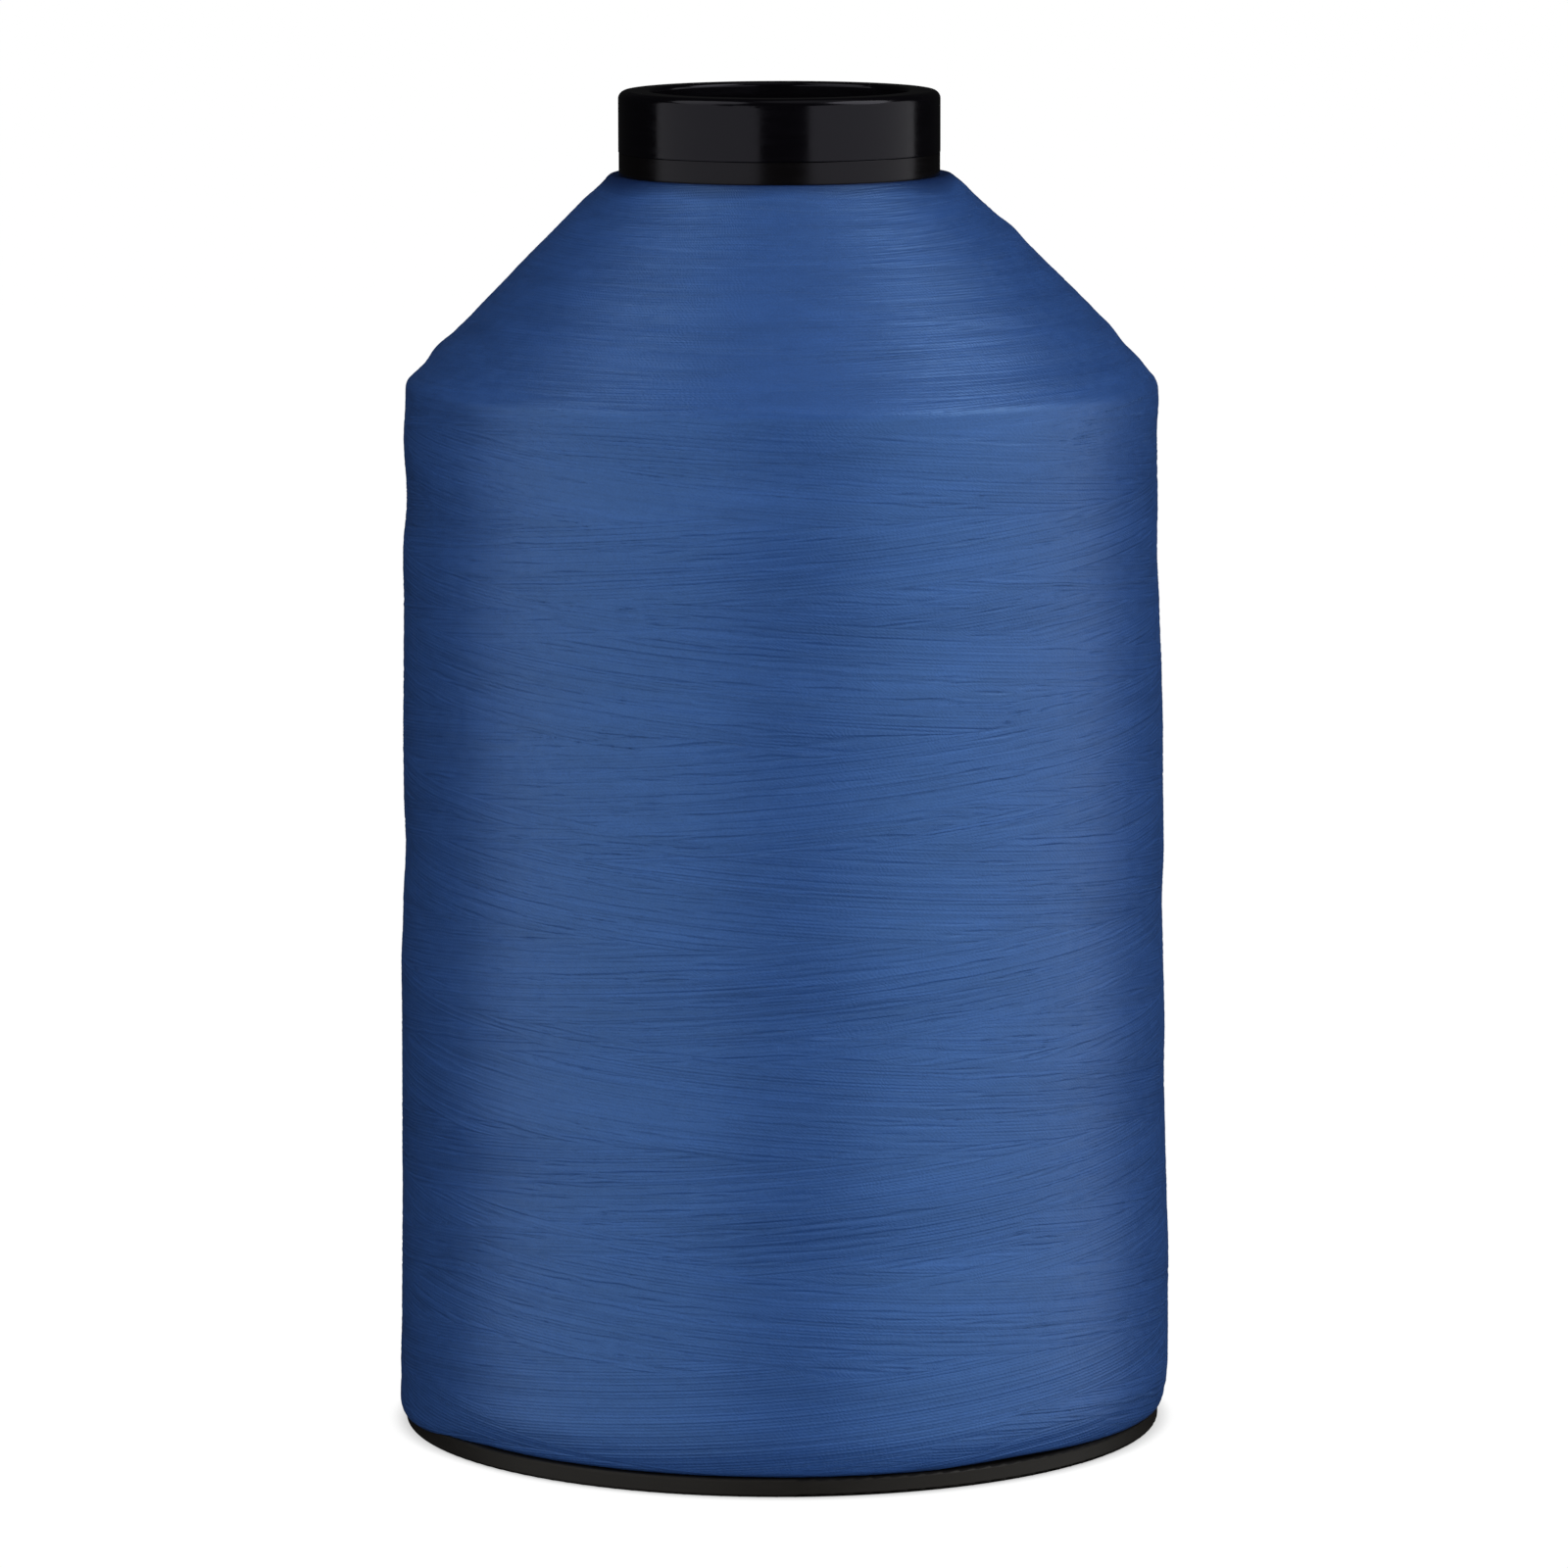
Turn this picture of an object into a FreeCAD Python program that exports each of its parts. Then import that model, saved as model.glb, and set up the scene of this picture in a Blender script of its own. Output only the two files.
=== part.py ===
"""Large industrial spool of sewing thread: a black moulded core and its wound thread.

The core is three mouldings: a tapered barrel, a collar ring that snaps over the barrel's neck,
and a base flange whose hub snaps into the barrel's foot and stands on the spindle of a thread
stand. The thread is cross-wound on the barrel. Every layer starts on the flange, and its upper
end stops short of the layer below it, which leaves the 45 degree shoulder under the collar.

Millimetres. +Z is the spool's axis, and z = 0 is the plane that the flange stands on.
"""

import FreeCAD, Part
import math
import os

# --- driving dimensions -------------------------------------------------------------------

SPOOL_HEIGHT = 175.0
FULL_TURN = 360.0

# base flange
FLANGE_RADIUS = 49.7
FLANGE_HEIGHT = 2.4
FLANGE_WEB = 1.4
FLANGE_RIM_WIDTH = 2.2
FLANGE_TOP_ROUND = 0.35
FLANGE_FOOT_ROUND = 0.5
FLANGE_RIBS = 12
FLANGE_RIB_WIDTH = 1.2
FLANGE_RIB_LIFT = 0.3
FLANGE_RING_RADIUS = 35.0

# hub of the base flange: a cup, open below, with the spindle tube in its middle
SPINDLE_RADIUS = 6.5
SPINDLE_WALL = 1.8
SPINDLE_BOTTOM = 0.4
SPINDLE_TOP = 24.0
SPINDLE_LEAD_IN = 1.0
SPINDLE_TOP_CHAMFER = 0.5
HUB_WALL = 1.6
HUB_TOP = 16.0
HUB_CLEARANCE = 0.1
HUB_TOP_CHAMFER = 0.6
HUB_WEBS = 4
HUB_WEB_ANGLE = 45.0
HUB_WEB_WIDTH = 1.2
HUB_WEB_LIFT = 2.0
HUB_SOCKET_PLAY = 1.0
JOINT_OVERLAP = 0.5

# barrel
BARREL_FOOT_RADIUS = 23.6
BARREL_NECK_RADIUS = 20.85
BARREL_WALL = 2.0
BARREL_TAPER_TOP = 150.0
NECK_BORE_RADIUS = 18.1
NECK_BORE_BOTTOM = 154.0
NECK_BORE_CHAMFER = 1.0
NECK_STEP = 167.0
SPIGOT_RADIUS = 19.2
SPIGOT_TOP = 172.6
SPIGOT_TOP_CHAMFER = 0.4
RIDGE_COUNT = 16
RIDGE_WIDTH = 0.9
RIDGE_HEIGHT = 0.25
RIDGE_BOTTOM = 6.0
RIDGE_TOP = 146.0

# snap beads and the grooves they drop into
BEAD_HEIGHT = 0.3
BEAD_LENGTH = 1.6
BEAD_PLAY = 0.1
HUB_BEAD_CENTRE = 11.5
COLLAR_BEAD_CENTRE = 160.0

# collar
COLLAR_RADIUS = 20.9
COLLAR_WALL = 1.6
COLLAR_MOUTH_RADIUS = 16.8
COLLAR_SKIRT_WALL = 1.2
COLLAR_SKIRT_BOTTOM = 157.0
COLLAR_LAND = 2.2
COLLAR_RIM_ROUND = 1.1
COLLAR_LIP_ROUND = 0.5
COLLAR_SEAM_ROUND = 0.1
COLLAR_SKIRT_CHAMFER = 0.4

# wound thread
THREAD_BOTTOM = 2.5
THREAD_HEEL_RADIUS = 49.3
THREAD_BELLY_RADIUS = 50.8
THREAD_BELLY = 7.5
THREAD_HEEL_ROUND = 5.0
THREAD_CORNER_RADIUS = 48.9
THREAD_CORNER = 137.2
THREAD_CORNER_ROUND = 3.0
THREAD_TOP_RADIUS = 22.0
THREAD_TOP = 164.2
THREAD_BORE_PLAY = 0.3
THREAD_NECK_RISE = 2.0
WINDING_SPLITS = (32.0, 42.0)
STARTER_RADIUS = 26.0
STARTER_TOP = 9.0
STARTER_ROUND = 1.0

# --- shared shapes ------------------------------------------------------------------------

AXIS_POINT = FreeCAD.Vector(0, 0, 0)
AXIS = FreeCAD.Vector(0, 0, 1)


def at(radius, height):
    """The point of the XZ half plane at that radius and height."""
    return FreeCAD.Vector(radius, 0, height)


def rounded_outline(corners):
    """A closed wire in the XZ plane through (radius, height, corner radius), in order."""
    points = [at(corner[0], corner[1]) for corner in corners]
    starts = []
    ends = []
    arcs = []
    for i, corner in enumerate(corners):
        here = points[i]
        back = (points[i - 1] - here).normalize()
        ahead = (points[(i + 1) % len(points)] - here).normalize()
        if corner[2] == 0:
            starts.append(here)
            ends.append(here)
            arcs.append(None)
            continue
        half_angle = back.getAngle(ahead) / 2
        reach = corner[2] / math.tan(half_angle)
        middle = (back + ahead).normalize()
        centre = here + middle * (corner[2] / math.sin(half_angle))
        starts.append(here + back * reach)
        ends.append(here + ahead * reach)
        arcs.append(Part.Arc(starts[i], centre - middle * corner[2], ends[i]))
    edges = []
    for i, arc in enumerate(arcs):
        if arc is not None:
            edges.append(arc.toShape())
        following = starts[(i + 1) % len(starts)]
        edges.append(Part.LineSegment(ends[i], following).toShape())
    return Part.Wire(edges)


def turned(corners):
    """The solid of revolution round the spool's axis of an outline given as corners."""
    return Part.Face(rounded_outline(corners)).revolve(AXIS_POINT, AXIS, FULL_TURN)


def ring(inner, outer, bottom, top):
    """A plain ring between two radii and two heights."""
    return turned([(inner, bottom, 0), (outer, bottom, 0), (outer, top, 0), (inner, top, 0)])


def bead(radius, centre, growth):
    """A snap bead on a wall of that radius, grown all round by a little play."""
    foot = BEAD_LENGTH / 2 + growth
    crest = foot / 2
    root = radius - BEAD_HEIGHT
    outside = radius + BEAD_HEIGHT + growth
    return turned([
        (root, centre - foot, 0),
        (radius, centre - foot, 0),
        (outside, centre - crest, 0),
        (outside, centre + crest, 0),
        (radius, centre + foot, 0),
        (root, centre + foot, 0),
    ])


def spaced(shape, count, offset=0.0):
    """Copies of a shape at equal angles round the axis."""
    copies = []
    for i in range(count):
        copy = shape.copy()
        copy.rotate(AXIS_POINT, AXIS, offset + i * FULL_TURN / count)
        copies.append(copy)
    return copies


def bar(inner, outer, width, bottom, top):
    """A radial bar along +X between two radii."""
    return Part.makeBox(outer - inner, width, top - bottom, FreeCAD.Vector(inner, -width / 2, bottom))


# --- core ---------------------------------------------------------------------------------


def barrel_radius(height):
    """Outer radius of the barrel at a height: a straight draft that ends in the neck."""
    share = min(1.0, (height - FLANGE_HEIGHT) / (BARREL_TAPER_TOP - FLANGE_HEIGHT))
    return BARREL_FOOT_RADIUS + share * (BARREL_NECK_RADIUS - BARREL_FOOT_RADIUS)


HUB_RADIUS = BARREL_FOOT_RADIUS - BARREL_WALL - 2 * HUB_CLEARANCE


def hub_socket_radius():
    """Inner radius of the barrel's foot, where the hub of the flange slides in."""
    return HUB_RADIUS + HUB_CLEARANCE


def make_core_barrel():
    """Tapered barrel with grip ridges, a socket for the hub and a spigot for the collar."""
    socket = hub_socket_radius()
    socket_top = HUB_TOP + HUB_SOCKET_PLAY
    body = turned([
        (socket, FLANGE_HEIGHT, 0),
        (BARREL_FOOT_RADIUS, FLANGE_HEIGHT, 0),
        (BARREL_NECK_RADIUS, BARREL_TAPER_TOP, 0),
        (BARREL_NECK_RADIUS, NECK_STEP, COLLAR_SEAM_ROUND),
        (SPIGOT_RADIUS, NECK_STEP, 0),
        (SPIGOT_RADIUS, SPIGOT_TOP, SPIGOT_TOP_CHAMFER),
        (NECK_BORE_RADIUS, SPIGOT_TOP, 0),
        (NECK_BORE_RADIUS, NECK_BORE_BOTTOM, 0),
        (BARREL_NECK_RADIUS - BARREL_WALL, NECK_BORE_BOTTOM - NECK_BORE_CHAMFER, 0),
        (barrel_radius(BARREL_TAPER_TOP) - BARREL_WALL, BARREL_TAPER_TOP, 0),
        (barrel_radius(socket_top) - BARREL_WALL, socket_top, 0),
        (socket, socket_top, 0),
    ])
    body = body.cut(bead(socket, HUB_BEAD_CENTRE, BEAD_PLAY))
    body = body.cut(bead(NECK_BORE_RADIUS, COLLAR_BEAD_CENTRE, BEAD_PLAY))
    return body.fuse(spaced(make_grip_ridge(), RIDGE_COUNT))


def make_grip_ridge():
    """One fine lengthwise ridge that keeps the first layer of thread from slipping round."""
    half = RIDGE_WIDTH / 2
    sections = []
    for height in (RIDGE_BOTTOM, RIDGE_TOP):
        surface = barrel_radius(height)
        root = surface - BARREL_WALL / 2
        crest = surface + RIDGE_HEIGHT
        sections.append(Part.makePolygon([
            FreeCAD.Vector(root, -half, height),
            FreeCAD.Vector(crest, -half / 2, height),
            FreeCAD.Vector(crest, half / 2, height),
            FreeCAD.Vector(root, half, height),
            FreeCAD.Vector(root, -half, height),
        ]))
    return Part.makeLoft(sections, True, True)


def make_top_collar():
    """Collar ring: an outer wall on the neck's step and a skirt that snaps into the neck."""
    skirt = COLLAR_MOUTH_RADIUS + COLLAR_SKIRT_WALL
    wall = COLLAR_RADIUS - COLLAR_WALL
    land = SPOOL_HEIGHT - COLLAR_LAND
    body = turned([
        (COLLAR_MOUTH_RADIUS, COLLAR_SKIRT_BOTTOM, 0),
        (skirt, COLLAR_SKIRT_BOTTOM, COLLAR_SKIRT_CHAMFER),
        (skirt, land, 0),
        (wall, land, 0),
        (wall, NECK_STEP, 0),
        (COLLAR_RADIUS, NECK_STEP, COLLAR_SEAM_ROUND),
        (COLLAR_RADIUS, SPOOL_HEIGHT, COLLAR_RIM_ROUND),
        (COLLAR_MOUTH_RADIUS, SPOOL_HEIGHT, COLLAR_LIP_ROUND),
    ])
    return body.fuse(bead(skirt, COLLAR_BEAD_CENTRE, 0))


def make_base_flange():
    """Base flange: thin disc with a rim and ribs below, and a hub that snaps into the barrel."""
    web_bottom = FLANGE_HEIGHT - FLANGE_WEB
    hub_inner = HUB_RADIUS - HUB_WALL
    rim_inner = FLANGE_RADIUS - FLANGE_RIM_WIDTH
    spindle_outer = SPINDLE_RADIUS + SPINDLE_WALL
    hub_ceiling = HUB_TOP - HUB_WALL
    body = turned([
        (SPINDLE_RADIUS + SPINDLE_LEAD_IN, SPINDLE_BOTTOM, 0),
        (spindle_outer, SPINDLE_BOTTOM, 0),
        (spindle_outer, hub_ceiling, 0),
        (hub_inner, hub_ceiling, 0),
        (hub_inner, web_bottom, 0),
        (rim_inner, web_bottom, 0),
        (rim_inner, 0, 0),
        (FLANGE_RADIUS, 0, FLANGE_FOOT_ROUND),
        (FLANGE_RADIUS, FLANGE_HEIGHT, FLANGE_TOP_ROUND),
        (HUB_RADIUS, FLANGE_HEIGHT, 0),
        (HUB_RADIUS, HUB_TOP, HUB_TOP_CHAMFER),
        (spindle_outer, HUB_TOP, 0),
        (spindle_outer, SPINDLE_TOP, SPINDLE_TOP_CHAMFER),
        (SPINDLE_RADIUS, SPINDLE_TOP, SPINDLE_TOP_CHAMFER),
        (SPINDLE_RADIUS, SPINDLE_BOTTOM + SPINDLE_LEAD_IN, 0),
    ])
    rib = bar(
        hub_inner + HUB_WALL / 2,
        rim_inner + JOINT_OVERLAP,
        FLANGE_RIB_WIDTH,
        FLANGE_RIB_LIFT,
        FLANGE_HEIGHT,
    )
    web = bar(
        spindle_outer - JOINT_OVERLAP,
        hub_inner + JOINT_OVERLAP,
        HUB_WEB_WIDTH,
        HUB_WEB_LIFT,
        HUB_TOP,
    )
    half = FLANGE_RIB_WIDTH / 2
    extras = [
        bead(HUB_RADIUS, HUB_BEAD_CENTRE, 0),
        ring(hub_inner, HUB_RADIUS, FLANGE_RIB_LIFT, FLANGE_HEIGHT),
        ring(FLANGE_RING_RADIUS - half, FLANGE_RING_RADIUS + half, FLANGE_RIB_LIFT, FLANGE_HEIGHT),
    ]
    return body.fuse(extras + spaced(rib, FLANGE_RIBS) + spaced(web, HUB_WEBS, HUB_WEB_ANGLE))


# --- wound thread -------------------------------------------------------------------------


def shoulder_height(radius):
    """Height at which a layer of that radius ends, on the 45 degree shoulder."""
    share = (radius - THREAD_TOP_RADIUS) / (THREAD_CORNER_RADIUS - THREAD_TOP_RADIUS)
    return THREAD_TOP + share * (THREAD_CORNER - THREAD_TOP)


def make_starter_turns():
    """The first turns, wound over each other at the foot to lock the thread's inner end."""
    bore = barrel_radius(THREAD_BOTTOM) + THREAD_BORE_PLAY
    return turned([
        (bore, THREAD_BOTTOM, 0),
        (STARTER_RADIUS, THREAD_BOTTOM, 0),
        (STARTER_RADIUS, STARTER_TOP, STARTER_ROUND),
        (bore, STARTER_TOP, 0),
    ])


def make_inner_winding():
    """The layers next to the barrel, up to the first split radius, with a place for the starter."""
    outer = WINDING_SPLITS[0]
    bore = BARREL_FOOT_RADIUS + THREAD_BORE_PLAY
    neck = BARREL_NECK_RADIUS + THREAD_BORE_PLAY
    body = turned([
        (bore, THREAD_BOTTOM, 0),
        (outer, THREAD_BOTTOM, 0),
        (outer, shoulder_height(outer), 0),
        (THREAD_TOP_RADIUS, THREAD_TOP, 0),
        (COLLAR_RADIUS, THREAD_TOP, 0),
        (COLLAR_RADIUS, BARREL_TAPER_TOP + THREAD_NECK_RISE, 0),
        (neck, BARREL_TAPER_TOP, 0),
    ])
    return body.cut(ring(BARREL_NECK_RADIUS, STARTER_RADIUS, THREAD_BOTTOM, STARTER_TOP))


def make_middle_winding():
    """The layers between the two split radii."""
    inner, outer = WINDING_SPLITS
    return turned([
        (inner, THREAD_BOTTOM, 0),
        (outer, THREAD_BOTTOM, 0),
        (outer, shoulder_height(outer), 0),
        (inner, shoulder_height(inner), 0),
    ])


def make_outer_winding():
    """The outermost layers: full at the flange, slimmer towards the shoulder."""
    inner = WINDING_SPLITS[1]
    return turned([
        (inner, THREAD_BOTTOM, 0),
        (THREAD_HEEL_RADIUS, THREAD_BOTTOM, 0),
        (THREAD_BELLY_RADIUS, THREAD_BELLY, THREAD_HEEL_ROUND),
        (THREAD_CORNER_RADIUS, THREAD_CORNER, THREAD_CORNER_ROUND),
        (inner, shoulder_height(inner), 0),
    ])


# --- output -------------------------------------------------------------------------------

SUB_PARTS = {
    "core_barrel": make_core_barrel,
    "top_collar": make_top_collar,
    "base_flange": make_base_flange,
    "starter_turns": make_starter_turns,
    "inner_winding": make_inner_winding,
    "middle_winding": make_middle_winding,
    "outer_winding": make_outer_winding,
}


def main():
    """Writes one STEP file per sub-part."""
    os.makedirs("parts", exist_ok=True)
    for name, make in SUB_PARTS.items():
        shape = make()
        box = shape.optimalBoundingBox(False)
        print(f"{name}: {len(shape.Solids)} solid, valid {shape.isValid()}, "
              f"{shape.Volume / 1000:.2f} cm3, radius {box.XMax:.2f}, z {box.ZMin:.2f} to {box.ZMax:.2f}")
        shape.exportStep(os.path.join("parts", name + ".step"))


main()
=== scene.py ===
"""Looks of a large spool of sewing thread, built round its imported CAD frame.

The wound thread is real relief: every strand of the outer layer is a ridge of the mesh, laid on
a helix that climbs or falls, with the later strand on top and small gaps where strands part.
Metres, +Z up, the same frame as the CAD. Angles run from +X, anticlockwise seen from above.
"""

import math

import bpy
import numpy as np
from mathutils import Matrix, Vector


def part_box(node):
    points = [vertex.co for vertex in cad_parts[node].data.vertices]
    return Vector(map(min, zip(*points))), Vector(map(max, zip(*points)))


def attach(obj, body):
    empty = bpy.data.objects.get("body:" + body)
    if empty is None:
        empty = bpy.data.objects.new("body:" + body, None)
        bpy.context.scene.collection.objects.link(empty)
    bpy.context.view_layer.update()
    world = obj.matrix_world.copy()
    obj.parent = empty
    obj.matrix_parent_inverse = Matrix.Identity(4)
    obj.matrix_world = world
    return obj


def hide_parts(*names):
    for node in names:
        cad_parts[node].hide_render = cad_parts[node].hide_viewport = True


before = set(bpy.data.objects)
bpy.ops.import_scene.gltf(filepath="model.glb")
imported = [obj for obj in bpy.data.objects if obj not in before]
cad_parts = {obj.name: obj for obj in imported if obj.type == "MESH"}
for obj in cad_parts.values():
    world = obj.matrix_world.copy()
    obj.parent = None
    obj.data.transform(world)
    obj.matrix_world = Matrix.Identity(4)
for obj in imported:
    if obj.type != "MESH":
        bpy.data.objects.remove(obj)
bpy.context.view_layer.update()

MM = 0.001
ROOT = "root"
RANDOM = np.random.default_rng(29)

# --- winding ------------------------------------------------------------------------------

LEAD = 27.0 * MM  # rise of a strand in one turn
COLUMNS = 256  # mesh columns in a turn, and mesh rows in a lead: a strand is a mesh diagonal
STEP = LEAD / COLUMNS
ROWS_PER_STRAND = 4
STRANDS = COLUMNS // ROWS_PER_STRAND
PITCH = ROWS_PER_STRAND * STEP
STRAND_RADIUS = 0.62 * PITCH
LAYER = 0.30 * MM  # how far a crossing strand lies above the strands it crosses
GAP_SHADE_TOP = 0.5 * STRAND_RADIUS  # relief below which painted shade darkens the space between strands
GAP_SHADE_REACH = 0.55 * LAYER  # how far below that the painted shade is full

# where rising strands lie over falling ones, in turns
ZONE_HEIGHT = 11.0 * MM
ZONE_SHIFT = 0.47
ZONE_WANDER = 0.045
ZONE_WANDER_SHAPE = (70, 4)  # rows between the noise's knots, and waves round the spool
ZONE_FRAY = 0.030
ZONE_FRAY_SHAPE = (12, 12)
CROSSING = 1.6 / STRANDS

# strand form and irregularity, for helical and for level strands, with reaches in columns
SQUARENESS = (3.4, 4.6)  # 2 is a round strand: tension flattens the outer ones against each other
DRIFT = (0.022 * MM, 0.013 * MM)
DRIFT_REACH = (30, 11)
PROUD = (0.014 * MM, 0.008 * MM)
PROUD_REACH = (44, 9)
SHADES = 64 * STRANDS
SHADE_REACH = 13  # a level strand changes its shade so often, where it dives under another
SHADE_STAGGER = 29  # columns from one strand's changes to the next strand's
SHADE_STRIDE = 61  # how far on in the table of shades each change goes

# gaps between neighbouring strands: how many, their reach in columns, their width in mm
GAPS = (
    (1000, (5, 14), (0.05, 0.16)),
    (2600, (1, 5), (0.26, 0.50)),
)
# how far the strands near a gap move for it: strand counted from the gap, share of its width
GAP_PUSH = ((0, -0.5), (1, 0.5), (-1, -0.3), (2, 0.3), (-2, -0.12), (3, 0.12))

# near-level strands where the layers end, from just under the corner to the collar
LEVEL_START = 5.0 * MM
LEVEL_WANDER = 3.2 * MM
LEVEL_WANDER_SHAPE = (40, 4)
LEVEL_EDGE = 5.0 * MM
LEVEL_SWAY_ROWS = 3.6
LEVEL_SWAY_SHAPE = (90, 5)
LEVEL_PATCH_SHAPE = (26, 3)
LEVEL_PATCH_EDGE = 0.9
LEVEL_STEP = 0.045 * MM

# package form
TAPER = 1.9 * MM
HEEL_INSET = 1.3 * MM
HEEL_ROUND = 1.3 * MM
BELLY_LIFT = 3.4 * MM
BELLY_ROUND = 12.0 * MM
CORNER_ROUND = 1.8 * MM
CORNER_STEPS = 25
TOP_ROUND = 0.8 * MM
FOOT_OVERLAP = 3.0 * MM
CONTACT = 0.05 * MM  # how far thread and flange stay apart
SIDE_SHIFT = (0.35 * MM, 0.22 * MM)  # how far the package sits towards +X, at foot and corner
SHOULDER_BULGE = 1.35 * MM
BULGE_POWERS = (0.8, 2)  # along the slope and round the spool: higher is narrower
OVERHANG = (0.9 * MM, 1.3 * MM)  # how far slumped turns hang out and down over the flange's edge
OVERHANG_START = 0.76
OVERHANG_SHARE = (1.0, 0.3)  # at -X and at +X
HEEL_HEIGHT = 5.0 * MM  # the turns that slump or stand clear
HEEL_CENTRE = 0.15  # where in that height they slump most
HEEL_FADE = 6  # how fast the slump fades from there
HEEL_INSIDE = (2.2 * MM, 1.2 * MM)  # where inside the flange's edge the slump begins, and its ramp
HEEL_GAP = (-53, 10, 0.35 * MM)  # azimuth and width in degrees of a place where turns stand clear
SHOULDER_WAVE = (0.025 * MM, 0.12 * MM)  # on the front and back, and more at the sides
SHOULDER_WAVE_SHAPE = (28, 3)
SIDE_POWER = 6  # how closely the stronger waves keep to the sides
BODY_WAVE = 0.15 * MM
BODY_WAVE_SHAPE = (72, 3)
SWELL_BLEND = 3.0 * MM  # how far the swells of body and shoulder take to give way to each other
NECK_DIP = 0.15 * MM  # the crevice between the last turns and the collar
NECK_SHADE = 3.6 * MM  # how far the shade painted into the thread's colour beside the collar reaches
NECK_RAGGED = 0.15  # how unevenly it ends, and in how many waves
NECK_WAVES = 9
FADE_ROWS = 10
BODY_BANDS = 4
BAND_NAMES = ("thread_foot", "thread_lower", "thread_middle", "thread_upper", "thread_shoulder")
COLLAR_PLAY = 0.02 * MM
CORE_PLAY = 1.0 * MM


def rounded_path(corners, step):
    """Points at equal steps along a path through (radius, height, corner radius)."""
    points = [np.array(corner[:2]) for corner in corners]
    dense = [points[0]]
    for i in range(1, len(points) - 1):
        back = points[i - 1] - points[i]
        ahead = points[i + 1] - points[i]
        back /= np.linalg.norm(back)
        ahead /= np.linalg.norm(ahead)
        half = math.acos(np.clip(back @ ahead, -1, 1)) / 2
        reach = corners[i][2] / math.tan(half)
        start = points[i] + back * reach
        end = points[i] + ahead * reach
        for t in np.linspace(0, 1, CORNER_STEPS):
            dense.append((1 - t) ** 2 * start + 2 * t * (1 - t) * points[i] + t * t * end)
    dense.append(points[-1])
    dense = np.array(dense)
    lengths = np.r_[0, np.cumsum(np.linalg.norm(np.diff(dense, axis=0), axis=1))]
    at = np.arange(0, lengths[-1], step)
    return np.interp(at, lengths, dense[:, 0]), np.interp(at, lengths, dense[:, 1])


def winding_outline():
    """The package's meridian from under its heel to the collar, from the CAD solids' boxes."""
    inner_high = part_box("inner_winding")[1]
    middle_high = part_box("middle_winding")[1]
    outer_low, outer_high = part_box("outer_winding")
    slope = (middle_high.z - outer_high.z) / (middle_high.x - inner_high.x)
    neck = inner_high.x - (inner_high.z - middle_high.z) / slope
    corner = outer_high.x - TAPER
    corner_height = outer_high.z - (corner - middle_high.x) * slope
    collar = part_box("top_collar")[1].x
    heel = outer_high.x - HEEL_INSET
    return [
        (heel - FOOT_OVERLAP, outer_low.z, 0),
        (heel, outer_low.z, HEEL_ROUND),
        (outer_high.x, outer_low.z + BELLY_LIFT, BELLY_ROUND),
        (corner, corner_height, CORNER_ROUND),
        (neck, inner_high.z, TOP_ROUND),
        (collar + COLLAR_PLAY, inner_high.z - NECK_DIP, 0),
    ]


def smooth_noise(rows, columns, reach):
    """Rows of smooth noise of unit size, closed on themselves, with a knot every reach columns."""
    count = max(columns // reach, 1)
    knots = RANDOM.standard_normal((rows, count))
    at = np.arange(columns) * count / columns
    whole = at.astype(int)
    part = at - whole
    blend = part * part * (3 - 2 * part)
    return knots[:, whole] * (1 - blend) + knots[:, (whole + 1) % count] * blend


def ring_noise(rows, row_reach, waves):
    """Smooth noise of unit size over the grid, closed round the spool."""
    angle = np.arange(COLUMNS) * 2 * math.pi / COLUMNS
    total = np.zeros((rows, COLUMNS))
    for wave in range(1, waves + 1):
        for pattern in (np.cos(wave * angle), np.sin(wave * angle)):
            total += smooth_noise(1, rows, row_reach)[0][:, None] * pattern[None, :]
    return total / math.sqrt(waves)


def smooth_step(value):
    """Eases from 0 to 1 as the value goes from -0.5 to 0.5."""
    share = np.clip(value + 0.5, 0, 1)
    return share * share * (3 - 2 * share)


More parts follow.
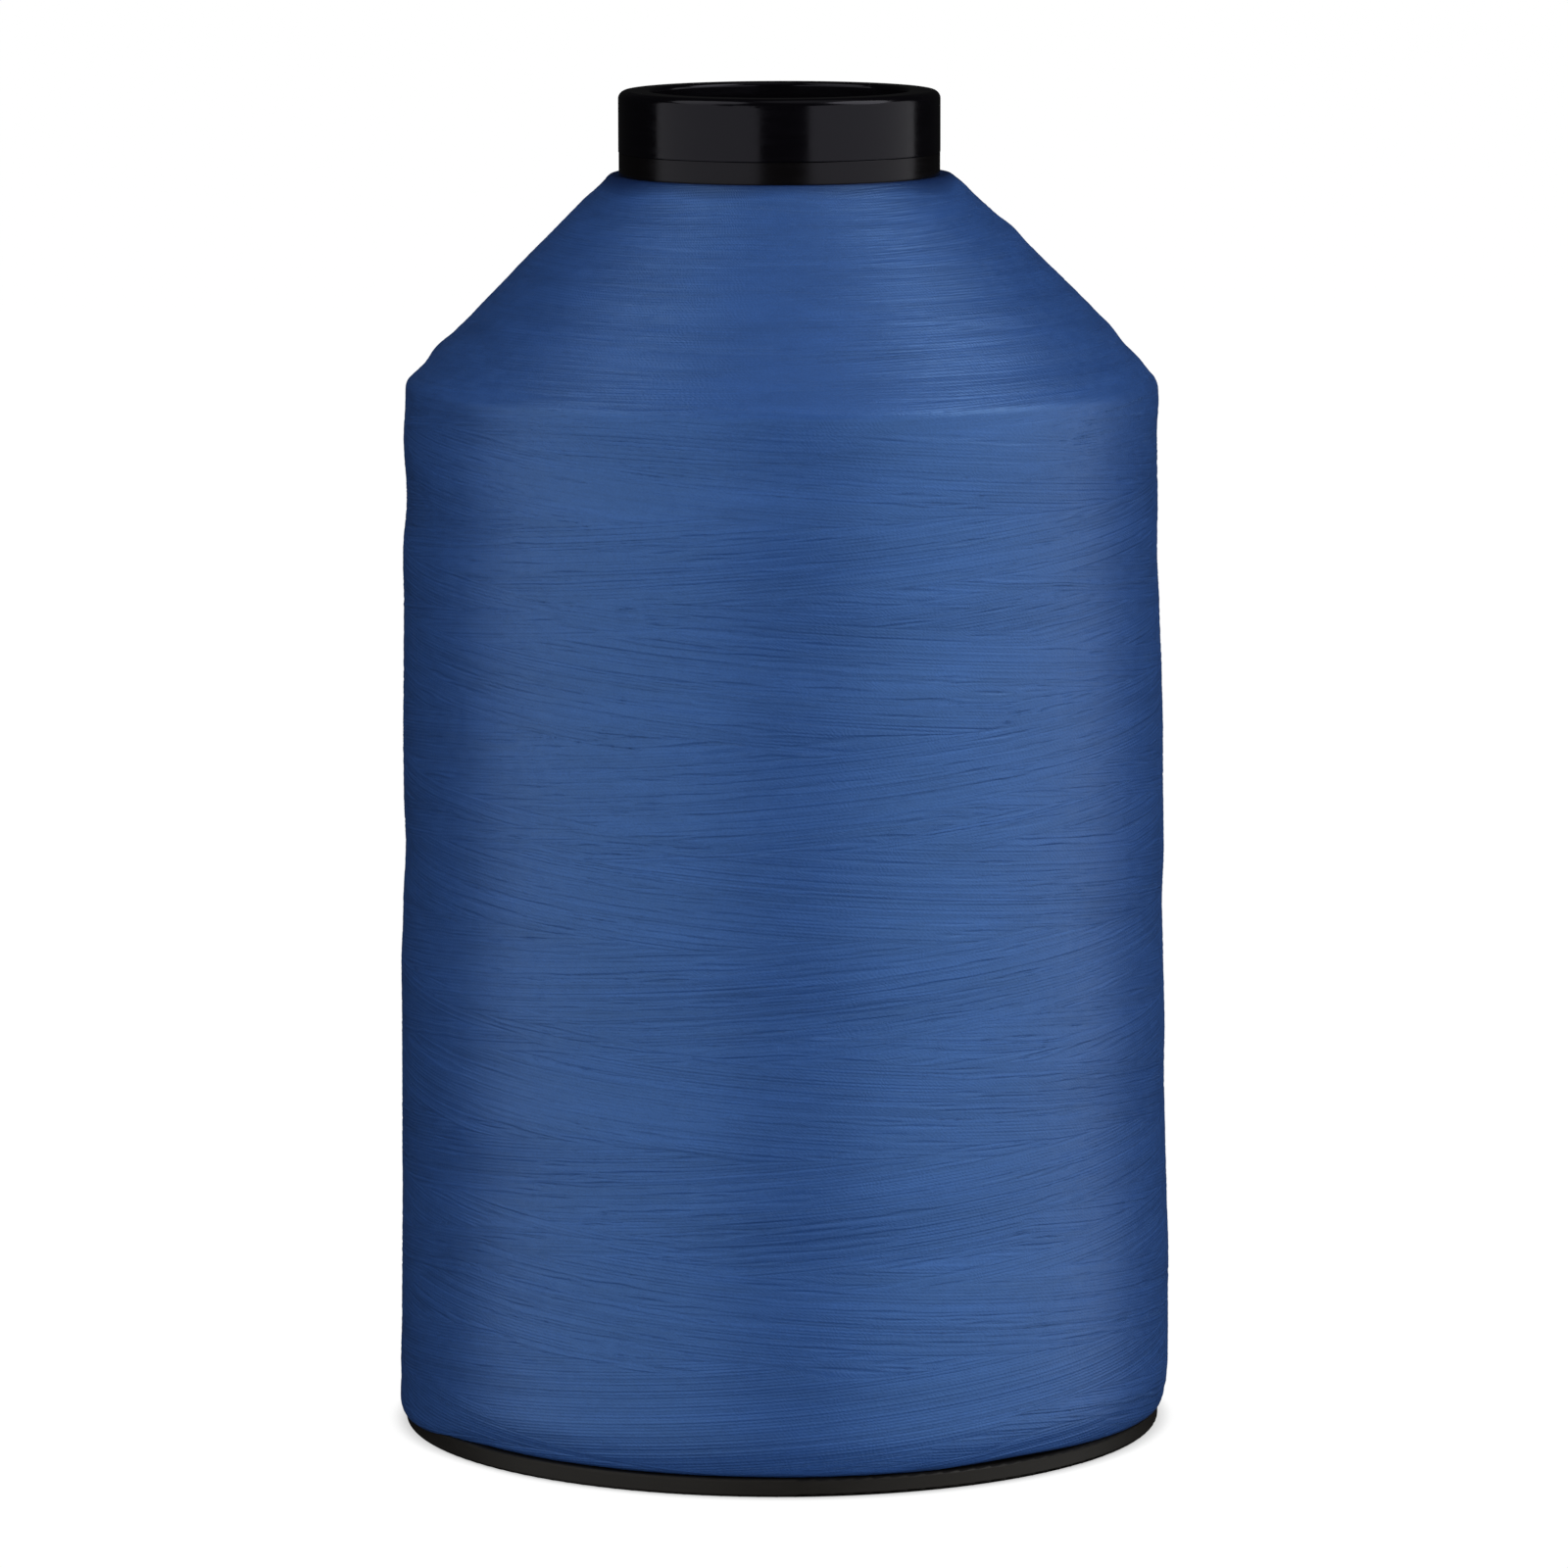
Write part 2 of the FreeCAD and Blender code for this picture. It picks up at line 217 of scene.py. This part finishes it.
class Strands:
    """Strands side by side. Each has its own drift, height and shade along its length.

    A helical set has STRANDS strands, which are followed through all their turns. A level set
    has one strand for every few rows, and each closes on itself.
    """

    def __init__(self, rows, helical):
        self.helical = helical
        self.count = STRANDS if helical else rows // ROWS_PER_STRAND + 4 * STRANDS
        self.length = COLUMNS * (rows // COLUMNS + 4) if helical else COLUMNS
        kind = 0 if helical else 1
        self.drift = DRIFT[kind] * smooth_noise(self.count, self.length, DRIFT_REACH[kind])
        self.proud = PROUD[kind] * smooth_noise(self.count, self.length, PROUD_REACH[kind])
        self.squareness = SQUARENESS[kind]
        self.shade = RANDOM.standard_normal(SHADES)

    def place(self, strand, column):
        """Where in the tables a strand is kept as it crosses a column."""
        if not self.helical:
            return strand % self.count, column
        along = column + COLUMNS * (strand // STRANDS)
        return strand % STRANDS, np.clip(along, 0, self.length - 1)

    def part(self, strand, column, reach, width):
        """Pushes the strands on both sides of one strand's edge apart, to open a gap."""
        span = np.arange(-reach, reach + 1)
        bump = (1 - (span / (reach + 1)) ** 2) ** 2
        for offset, share in GAP_PUSH:
            number, at = self.place(strand + offset, column + span)
            self.drift[number, at] += share * width * bump

    def relief(self, phase, column):
        """Ridge height at a phase, which counts strands, and the shade of the strand seen."""
        base = np.floor(phase).astype(int)
        best = np.zeros(phase.shape)
        seen = base.copy()
        for offset in (-1, 0, 1):
            strand = base + offset
            place = self.place(strand, column)
            away = (phase - strand - 0.5) * PITCH - self.drift[place]
            flank = np.clip(1 - np.abs(away / STRAND_RADIUS) ** self.squareness, 0, None)
            ridge = STRAND_RADIUS * flank ** (1 / self.squareness)
            ridge += np.where(ridge > 0, self.proud[place], 0)
            seen = np.where(ridge > best, strand, seen)
            best = np.maximum(best, ridge)
        stretch = 0 if self.helical else (column + SHADE_STAGGER * seen) // SHADE_REACH
        return best, self.shade[(seen + SHADE_STRIDE * stretch) % SHADES]


def open_gaps(strands, rows):
    """Long faint partings and short clear gaps between neighbouring strands."""
    numbers = rows // ROWS_PER_STRAND + STRANDS
    for count, reaches, widths in GAPS:
        strand = RANDOM.integers(STRANDS, numbers, count)
        column = RANDOM.integers(0, COLUMNS, count)
        reach = RANDOM.integers(*reaches, count)
        width = RANDOM.uniform(*widths, count) * MM
        for gap in zip(strand, column, reach, width):
            strands.part(*gap)


def lay_over(first, second, over, step):
    """Two layers of relief and shade, the first on top where over is 1 and below where it is 0."""
    first_height = first[0] - step * (1 - over)
    second_height = second[0] - step * over
    height = np.maximum(first_height, second_height)
    return height, np.where(first_height > second_height, first[1], second[1])


def wound_body(row, column):
    """Crossed helical strands, and where the climbing ones are on top."""
    rows = len(row)
    climbing = Strands(rows, True)
    falling = Strands(rows, True)
    open_gaps(climbing, rows)
    open_gaps(falling, rows)
    # the later strand is on top: each point compares when its two strands were laid
    turn = column / COLUMNS
    rise = (row * STEP - ZONE_HEIGHT) / LEAD
    rise = rise + ZONE_WANDER * ring_noise(rows, *ZONE_WANDER_SHAPE)
    rise = rise + ZONE_FRAY * ring_noise(rows, *ZONE_FRAY_SHAPE)
    lead = (turn - rise) % 1 - (turn + rise - ZONE_SHIFT) % 1
    over = smooth_step(lead / CROSSING)
    mirrored = (-column) % COLUMNS
    climb = climbing.relief((row - column) / ROWS_PER_STRAND + STRANDS, column)
    fall = falling.relief((row - mirrored) / ROWS_PER_STRAND + STRANDS, mirrored)
    return lay_over(climb, fall, over, LAYER), over > 0.5


def wound_shoulder(row, column):
    """Near-level strands in two sets that sway differently, each on top in places."""
    rows = len(row)
    sets = []
    for _ in range(2):
        sway = LEVEL_SWAY_ROWS * ring_noise(rows, *LEVEL_SWAY_SHAPE)
        phase = (row + sway) / ROWS_PER_STRAND + STRANDS
        sets.append(Strands(rows, False).relief(phase, column))
    over = smooth_step(ring_noise(rows, *LEVEL_PATCH_SHAPE) / LEVEL_PATCH_EDGE)
    return lay_over(sets[0], sets[1], over, LEVEL_STEP)


def lay_strands(rows, corner_row):
    """Relief and shade of the whole grid, and where climbing strands are on top."""
    row, column = np.meshgrid(np.arange(rows), np.arange(COLUMNS), indexing="ij")
    body, climbs = wound_body(row, column)
    shoulder = wound_shoulder(row, column)
    wander = LEVEL_WANDER / STEP * ring_noise(rows, *LEVEL_WANDER_SHAPE)
    start = corner_row - LEVEL_START / STEP + wander
    over = smooth_step((row - start) * STEP / LEVEL_EDGE)
    height, shade = lay_over(shoulder, body, over, LEVEL_STEP)
    return height, shade, climbs


def form_waves(rows, shoulder):
    """Low swells of the package: rolling steps on the shoulder and faint ones on the body."""
    side = np.cos(np.arange(COLUMNS) * 2 * math.pi / COLUMNS)[None, :] ** SIDE_POWER
    steps = ring_noise(rows, *SHOULDER_WAVE_SHAPE) * (SHOULDER_WAVE[0] + SHOULDER_WAVE[1] * side)
    swells = ring_noise(rows, *BODY_WAVE_SHAPE) * BODY_WAVE
    return steps * shoulder + swells * (1 - shoulder)


def package_shift(level, corner_height, shoulder, angle):
    """Swell that leans the package to +X, and fills its shoulder out on that side."""
    side = np.cos(angle)[None, :]
    share = np.clip(level / corner_height, 0, 1)[:, None]
    shift = SIDE_SHIFT[0] + share * (SIDE_SHIFT[1] - SIDE_SHIFT[0])
    along = np.clip((level - corner_height) / (level[-1] - corner_height), 0, 1)[:, None]
    rise, turn = BULGE_POWERS
    bulge = SHOULDER_BULGE * np.sin(math.pi * along) ** rise * np.clip(side, 0, 1) ** turn
    return shift * side * (1 - shoulder) + bulge * shoulder


def slump_heel(out, up, angle):
    """Hangs the lowest turns over the flange's edge at both sides, and lifts them in one place."""
    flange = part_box("base_flange")[1].x + CONTACT
    flange_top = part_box("outer_winding")[0].z - CONTACT
    side = np.cos(angle)
    share = smooth_step((np.abs(side) - OVERHANG_START) / (1 - OVERHANG_START) - 0.5)
    share = (share * np.where(side < 0, *OVERHANG_SHARE))[None, :]
    height = (up - flange_top) / HEEL_HEIGHT
    near = np.exp(-((height - HEEL_CENTRE) ** 2) * HEEL_FADE)
    near = near * np.clip((out - flange + HEEL_INSIDE[0]) / HEEL_INSIDE[1], 0, 1)
    azimuth, width, lift = HEEL_GAP
    away = (np.degrees(angle) - azimuth + 180) % 360 - 180
    raised = lift * np.exp(-((away / width) ** 2))[None, :]
    out = out + OVERHANG[0] * share * near
    up = up - OVERHANG[1] * share * near + raised * np.exp(-(height**2))
    return out, np.where(out < flange, np.maximum(up, flange_top), up)


def grid_normals(points, climbs):
    """Smooth normals of the grid, from the same triangles that the mesh has."""
    ahead = np.roll(points, -1, axis=1)
    low, right = points[:-1], ahead[:-1]
    high, far = points[1:], ahead[1:]
    normals = np.zeros_like(points)
    wide = np.where(climbs[:-1], 1.0, 0.0)[..., None]
    first = np.cross(right - low, far - low)
    second = np.cross(far - low, high - low)
    third = np.cross(right - low, high - low)
    fourth = np.cross(far - right, high - right)
    normals[:-1] += wide * (first + second) + (1 - wide) * third
    normals[1:] += wide * second + (1 - wide) * (third + fourth)
    right_sum = wide * first + (1 - wide) * (third + fourth)
    far_sum = wide * (first + second) + (1 - wide) * fourth
    normals[:-1] += np.roll(right_sum, 1, axis=1)
    normals[1:] += np.roll(far_sum, 1, axis=1)
    return normals / np.linalg.norm(normals, axis=2, keepdims=True)


def band_mesh(name, points, normals, values, climbs, inner_radius):
    """A closed ring whose outside is a stretch of the winding's grid."""
    rows = len(points)
    total = rows * COLUMNS
    index = np.arange(total).reshape(rows, COLUMNS)
    ahead = np.roll(index, -1, axis=1)
    low, right, high, far = index[:-1], ahead[:-1], index[1:], ahead[1:]
    rising = climbs[:-1][..., None]
    first = np.where(rising, np.stack([low, right, far], -1), np.stack([low, right, high], -1))
    second = np.where(rising, np.stack([low, far, high], -1), np.stack([right, far, high], -1))
    triangles = np.concatenate([first.reshape(-1, 3), second.reshape(-1, 3)])
    angle = np.arange(COLUMNS) * 2 * math.pi / COLUMNS
    ring = np.stack([inner_radius * np.cos(angle), inner_radius * np.sin(angle)], -1)
    floor_ring = np.c_[ring, np.full(COLUMNS, points[0, :, 2].mean())]
    roof_ring = np.c_[ring, np.full(COLUMNS, points[-1, :, 2].mean())]
    inner = total + np.arange(COLUMNS)
    loops = [index[0], inner, inner + COLUMNS, index[-1]]
    caps = []
    for under, above in zip(loops[:-1], loops[1:]):
        next_under, next_above = np.roll(under, -1), np.roll(above, -1)
        caps.append(np.stack([under, above, next_above], -1))
        caps.append(np.stack([under, next_above, next_under], -1))
    caps = np.concatenate(caps)
    corners = np.concatenate([triangles, caps])
    vertices = np.concatenate([points.reshape(-1, 3), floor_ring, roof_ring])
    mesh = bpy.data.meshes.new(name)
    mesh.vertices.add(len(vertices))
    mesh.vertices.foreach_set("co", vertices.astype(np.float32).ravel())
    mesh.loops.add(corners.size)
    mesh.loops.foreach_set("vertex_index", corners.astype(np.int32).ravel())
    mesh.polygons.add(len(corners))
    mesh.polygons.foreach_set("loop_start", np.arange(0, corners.size, 3, dtype=np.int32))
    mesh.update(calc_edges=True)
    mesh.polygons.foreach_set("use_smooth", np.arange(len(corners)) < len(triangles))
    edge_a = vertices[caps[:, 1]] - vertices[caps[:, 0]]
    edge_b = vertices[caps[:, 2]] - vertices[caps[:, 0]]
    flat = np.cross(edge_a, edge_b)
    flat /= np.linalg.norm(flat, axis=1, keepdims=True)
    corner_normals = np.concatenate([
        normals.reshape(-1, 3)[triangles.ravel()],
        np.repeat(flat, 3, axis=0),
    ])
    mesh.normals_split_custom_set(corner_normals.tolist())
    for label, grid in values.items():
        attribute = mesh.attributes.new(label, "FLOAT", "POINT")
        padded = np.concatenate([grid.ravel(), np.zeros(2 * COLUMNS)])
        attribute.data.foreach_set("value", padded.astype(np.float32))
    piece = bpy.data.objects.new(name, mesh)
    bpy.context.scene.collection.objects.link(piece)
    return piece


def make_winding(material):
    """The whole wound package, in a shoulder and several bands that meet without a seam."""
    radius, level = rounded_path(winding_outline(), STEP)
    rows = len(radius)
    corner_height = winding_outline()[3][1]
    corner_row = int(np.argmax(level > corner_height))
    height, shade, climbs = lay_strands(rows, corner_row)
    shoulder = np.clip((level - corner_height + SWELL_BLEND) / (2 * SWELL_BLEND), 0, 1)[:, None]
    fade = np.clip(np.minimum(np.arange(rows), np.arange(rows)[::-1]) / FADE_ROWS, 0, 1)[:, None]
    angle = np.arange(COLUMNS) * 2 * math.pi / COLUMNS
    swell = form_waves(rows, shoulder) + package_shift(level, corner_height, shoulder, angle)
    slope = np.stack([np.gradient(radius), np.gradient(level)], -1)
    slope /= np.linalg.norm(slope, axis=1, keepdims=True)
    lift = (height - STRAND_RADIUS + swell * slope[:, 1:2]) * fade
    out = radius[:, None] + lift * slope[:, 1:2]
    up = level[:, None] - lift * slope[:, 0:1]
    out, up = slump_heel(out, up, angle)
    points = np.stack([out * np.cos(angle), out * np.sin(angle), up * np.ones(COLUMNS)], -1)
    normals = grid_normals(points, climbs)
    # painted shade: where the relief lies low between strands, the colour is darkened as if shaded
    painted_shade = np.clip((GAP_SHADE_TOP - height) / GAP_SHADE_REACH, 0, 1)
    # painted shade: the thread's colour darkens over the last turns beside the collar, with a
    # ragged edge
    reach = NECK_SHADE * (1 + NECK_RAGGED * ring_noise(1, 1, NECK_WAVES))
    near = np.clip(1 - np.arange(rows)[::-1, None] * STEP / reach, 0, 1)
    painted_shade = np.maximum(painted_shade, near * (2 - near))
    values = {"painted_shade": painted_shade, "shade": shade}
    edges = [round(corner_row * band / BODY_BANDS) for band in range(BODY_BANDS + 1)] + [rows - 1]
    stands_for = {
        "thread_foot": ["outer_winding", "starter_turns"],
        "thread_shoulder": ["inner_winding", "middle_winding"],
    }
    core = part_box("core_barrel")[1].x
    for name, start, end in zip(BAND_NAMES, edges[:-1], edges[1:]):
        part = slice(start, end + 1)
        inner = core + CORE_PLAY
        if name == "thread_shoulder":
            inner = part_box("top_collar")[1].x + COLLAR_PLAY
        own_values = {label: grid[part] for label, grid in values.items()}
        piece = band_mesh(name, points[part], normals[part], own_values, climbs[part], inner)
        piece.data.materials.append(material)
        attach(piece, ROOT)
        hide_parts(*stands_for.get(name, ["outer_winding"]))


# --- materials ----------------------------------------------------------------------------

# noise scales are in knots per metre
THREAD_CREST = (0.0275, 0.0825, 0.281, 1)
# the dark blue of painted shade, in the gaps between strands and beside the collar
THREAD_PAINTED_SHADE = (0.0045, 0.018, 0.090, 1)
TWIST_LENGTH = 0.70 * MM
TWIST_HEIGHT = 0.008 * MM
TWIST_DRIFT = 5  # turns by which the twist gets out of step along a strand
DUST = (0.35, 0.34, 0.32, 1)
DUST_SCALE = 260
DUST_SIZE = 0.045
DUST_COVER = 0.35
SCUFF_STRETCH = (1, 1, 14)
WORN_GAIN = 1.25
PEEL_HEIGHT = 0.004 * MM
PLASTIC_GLOSS = (0.88, 0.86, 1.0)
FLANGE_GLOSS = (1.0, 0.97, 0.92)


class Nodes:
    """Short calls to make and join the nodes of one material."""

    def __init__(self, name):
        self.material = bpy.data.materials.new(name)
        self.material.use_nodes = True
        self.tree = self.material.node_tree
        self.shader = self.tree.nodes["Principled BSDF"]

    def make(self, kind, **settings):
        node = self.tree.nodes.new(kind)
        for key, value in settings.items():
            setattr(node, key, value)
        return node

    def join(self, source, target):
        self.tree.links.new(source, target)

    def fill(self, socket, value):
        if isinstance(value, bpy.types.NodeSocket):
            self.join(value, socket)
        else:
            socket.default_value = value

    def math(self, operation, a, b=0.0):
        node = self.make("ShaderNodeMath", operation=operation)
        self.fill(node.inputs[0], a)
        self.fill(node.inputs[1], b)
        return node.outputs[0]

    def place(self):
        return self.make("ShaderNodeTexCoord").outputs["Object"]

    def noise(self, scale, detail=2.0, vector=None, rough=0.5):
        node = self.make("ShaderNodeTexNoise")
        self.join(vector or self.place(), node.inputs["Vector"])
        node.inputs["Scale"].default_value = scale
        node.inputs["Detail"].default_value = detail
        node.inputs["Roughness"].default_value = rough
        return node.outputs["Fac"]

    def stretch(self, scales):
        node = self.make("ShaderNodeMapping")
        self.join(self.place(), node.inputs["Vector"])
        node.inputs["Scale"].default_value = scales
        return node.outputs["Vector"]

    def spread(self, value, low, high, to_low, to_high):
        node = self.make("ShaderNodeMapRange")
        self.join(value, node.inputs["Value"])
        ends = {"From Min": low, "From Max": high, "To Min": to_low, "To Max": to_high}
        for key, number in ends.items():
            node.inputs[key].default_value = number
        return node.outputs["Result"]

    def mix(self, factor, a, b, blend="MIX"):
        node = self.make("ShaderNodeMix", data_type="RGBA", blend_type=blend)
        self.fill(node.inputs["Factor"], factor)
        self.fill(node.inputs["A"], a)
        self.fill(node.inputs["B"], b)
        return node.outputs["Result"]

    def attribute(self, name):
        return self.make("ShaderNodeAttribute", attribute_name=name).outputs["Fac"]

    def bump(self, height, distance):
        node = self.make("ShaderNodeBump")
        self.join(height, node.inputs["Height"])
        node.inputs["Distance"].default_value = distance
        node.inputs["Strength"].default_value = 1.0
        self.join(node.outputs["Normal"], self.shader.inputs["Normal"])


def thread_material():
    """Blue bonded nylon: satin strands with a ply twist, faint shade changes and painted dark
    shade in gaps.
    """
    n = Nodes("blue_bonded_thread")
    shade = n.attribute("shade")
    painted_shade = n.attribute("painted_shade")
    dye = n.spread(n.noise(55, 4, n.stretch((1, 1, 7)), 0.7), 0.3, 0.7, 0.88, 1.12)
    fuzz = n.spread(n.noise(4200, 2), 0.25, 0.75, 0.85, 1.15)
    own = n.spread(shade, -3, 3, 0.92, 1.08)
    light = n.math("MULTIPLY", n.math("MULTIPLY", dye, fuzz), own)
    grey = n.make("ShaderNodeCombineColor")
    for channel in range(3):
        n.join(light, grey.inputs[channel])
    lit = n.mix(1.0, THREAD_CREST, grey.outputs[0], "MULTIPLY")
    # painted shade: the base colour turns dark blue in the gaps between strands and beside the
    # collar
    n.join(n.mix(painted_shade, lit, THREAD_PAINTED_SHADE), n.shader.inputs["Base Color"])
    # the ply twist: slanting ridges along each strand, out of step from one strand to the next
    spot = n.make("ShaderNodeSeparateXYZ")
    n.join(n.place(), spot.inputs[0])
    turn = n.math("ARCTAN2", spot.outputs[1], spot.outputs[0])
    along = n.math("MULTIPLY", turn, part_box("outer_winding")[1].x / TWIST_LENGTH)
    across = n.math("MULTIPLY", spot.outputs[2], 1 / TWIST_LENGTH)
    drift = n.math("MULTIPLY", n.noise(240, 2), TWIST_DRIFT)
    turns = n.math("ADD", n.math("ADD", along, across), n.math("ADD", shade, drift))
    phase = n.math("MULTIPLY", turns, 2 * math.pi)
    worn = n.spread(n.noise(1300, 2), 0.3, 0.7, 0.25, 1.0)
    n.bump(n.math("MULTIPLY", n.math("SINE", phase), worn), TWIST_HEIGHT)
    n.join(n.spread(n.noise(700, 2), 0.3, 0.7, 0.34, 0.44), n.shader.inputs["Roughness"])
    n.shader.inputs["IOR"].default_value = 2.08
    n.shader.inputs["Specular Tint"].default_value = (0.28, 0.55, 1, 1)
    return n.material


def plastic_material(name, colour, rough, gloss=PLASTIC_GLOSS):
    """Black moulded plastic: a faint orange peel, hairline scuffs and a little dust."""
    n = Nodes(name)
    scuffs = n.noise(160, 4, n.stretch(SCUFF_STRETCH), 0.6)
    peel = n.noise(900, 2)
    specks = n.make("ShaderNodeTexVoronoi")
    n.join(n.place(), specks.inputs["Vector"])
    specks.inputs["Scale"].default_value = DUST_SCALE
    dust = n.math("LESS_THAN", specks.outputs["Distance"], DUST_SIZE)
    rare = n.math("GREATER_THAN", n.noise(150, 1), 0.60)
    dusty = n.math("MULTIPLY", n.math("MULTIPLY", dust, rare), DUST_COVER)
    worn = tuple(c * WORN_GAIN for c in colour) + (1,)
    base = n.mix(n.spread(scuffs, 0.45, 0.75, 0, 1), colour + (1,), worn)
    n.join(n.mix(dusty, base, DUST), n.shader.inputs["Base Color"])
    n.join(n.spread(scuffs, 0.3, 0.75, *rough), n.shader.inputs["Roughness"])
    n.shader.inputs["Specular IOR Level"].default_value = 0.25
    n.shader.inputs["Specular Tint"].default_value = gloss + (1,)
    n.bump(peel, PEEL_HEIGHT)
    return n.material


# --- stage --------------------------------------------------------------------------------

CAMERA_PLACE = (0.43 * MM, -1.0665, 0.2384)
CAMERA_LENS = 188.7  # on a sensor 36 mm wide
CAMERA_DOWN = 8.23  # degrees
CAMERA_ROLL = -0.12
PANEL_DISTANCE = 1.7
FILL_SPAN = (-0.2, 1.2)  # lowest and highest point of a fill panel
TOP_LIGHT_SIZE = 1.2
TOP_LIGHT_AIM = (0, 0, 0.1)
FLOOR_REACH = 8.0
FLOOR_DROP = 0.05 * MM
# reach of the shadow painted into the floor's glow
SHADOW_REACH = 4 * MM


def make_camera():
    camera = bpy.data.objects.new("camera", bpy.data.cameras.new("camera"))
    camera.data.lens = CAMERA_LENS
    camera.data.sensor_width = 36
    camera.location = CAMERA_PLACE
    camera.rotation_euler = (math.radians(90 - CAMERA_DOWN), 0, 0)
    camera.rotation_euler.rotate_axis("Z", math.radians(CAMERA_ROLL))
    bpy.context.scene.collection.objects.link(camera)
    bpy.context.scene.camera = camera


def make_panel(name, azimuth, half_angle, brightness, span=(-0.9, 1.1), glossy=True):
    """An upright soft light that faces the spool. Azimuth 0 is in front, and +X is positive."""
    light = bpy.data.lights.new(name, "AREA")
    light.shape = "RECTANGLE"
    light.size = 2 * PANEL_DISTANCE * math.tan(math.radians(half_angle))
    light.size_y = span[1] - span[0]
    light.energy = brightness * math.pi * light.size * light.size_y
    panel = bpy.data.objects.new(name, light)
    turn = math.radians(azimuth)
    across, away = PANEL_DISTANCE * math.sin(turn), -PANEL_DISTANCE * math.cos(turn)
    panel.location = (across, away, sum(span) / 2)
    panel.rotation_euler = (math.radians(90), 0, turn)
    panel.visible_camera = False
    panel.visible_glossy = glossy
    bpy.context.scene.collection.objects.link(panel)


def make_top_light(name, place, energy):
    """A soft round light above the spool, aimed at it."""
    light = bpy.data.lights.new(name, "AREA")
    light.shape = "DISK"
    light.size = TOP_LIGHT_SIZE
    light.energy = energy
    lamp = bpy.data.objects.new(name, light)
    lamp.location = place
    aim = Vector(TOP_LIGHT_AIM) - lamp.location
    lamp.rotation_euler = aim.to_track_quat("-Z", "Y").to_euler()
    lamp.visible_camera = False
    bpy.context.scene.collection.objects.link(lamp)


def make_lights():
    make_panel("soft_panel_left", -55.5, 41.5, 0.83)
    make_panel("soft_panel_right", 66.5, 45.5, 0.96)
    make_panel("fill_front", 5, 20, 1.95, FILL_SPAN, False)
    make_panel("fill_back", 180, 20, 1.5, FILL_SPAN, False)
    make_top_light("soft_top_left", (-0.9, -0.3, 1.3), 4.5)
    make_top_light("soft_top_right", (1.15, -0.3, 1.3), 9.4)
    make_top_light("soft_top_middle", (0.35, -0.1, 1.6), 1.0)


def make_world():
    """White where the camera looks past the floor, and nearly dark as a light."""
    world = bpy.data.worlds.new("studio")
    bpy.context.scene.world = world
    world.use_nodes = True
    tree = world.node_tree
    background = tree.nodes["Background"]
    path = tree.nodes.new("ShaderNodeLightPath")
    mix = tree.nodes.new("ShaderNodeMapRange")
    tree.links.new(path.outputs["Is Camera Ray"], mix.inputs["Value"])
    mix.inputs["To Min"].default_value = 0.01
    mix.inputs["To Max"].default_value = 1.0
    tree.links.new(mix.outputs["Result"], background.inputs["Strength"])
    background.inputs["Color"].default_value = (1, 1, 1, 1)


def make_floor():
    """A glowing white table with a narrow soft shadow painted into its glow where the spool
    touches it.
    """
    n = Nodes("white_table")
    near = n.make("ShaderNodeAmbientOcclusion", samples=16)
    near.inputs["Distance"].default_value = SHADOW_REACH
    # painted shadow: the glow dims where occlusion finds the spool close
    glow_with_painted_shadow = n.spread(near.outputs["AO"], 0.35, 0.72, 0.62, 1.0)
    n.join(glow_with_painted_shadow, n.shader.inputs["Emission Strength"])
    n.shader.inputs["Emission Color"].default_value = (1, 1, 1, 1)
    n.shader.inputs["Base Color"].default_value = (0.02, 0.02, 0.02, 1)
    n.shader.inputs["Roughness"].default_value = 0.9
    n.shader.inputs["Specular IOR Level"].default_value = 0.0
    mesh = bpy.data.meshes.new("floor")
    corners = ((-1, -1), (1, -1), (1, 1), (-1, 1))
    ring = [(FLOOR_REACH * x, FLOOR_REACH * y, -FLOOR_DROP) for x, y in corners]
    mesh.from_pydata(ring, [], [(0, 1, 2, 3)])
    floor = bpy.data.objects.new("floor", mesh)
    bpy.context.scene.collection.objects.link(floor)
    floor.data.materials.append(n.material)
    floor.visible_diffuse = False
    floor.visible_glossy = False


def dress(node, material):
    """Gives a CAD node its material."""
    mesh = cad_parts[node].data
    mesh.materials.clear()
    mesh.materials.append(material)


make_camera()
make_lights()
make_world()
make_floor()
core = plastic_material("black_core_plastic", (0.0030, 0.0026, 0.0028), (0.18, 0.26))
flange = plastic_material(
    "black_flange_plastic", (0.0115, 0.0105, 0.0093), (0.42, 0.55), FLANGE_GLOSS
)
collar = plastic_material("black_collar_plastic", (0.0024, 0.0021, 0.0031), (0.12, 0.20))
dress("core_barrel", core)
dress("base_flange", flange)
dress("top_collar", collar)
make_winding(thread_material())
bpy.context.scene.view_settings.view_transform = "Standard"
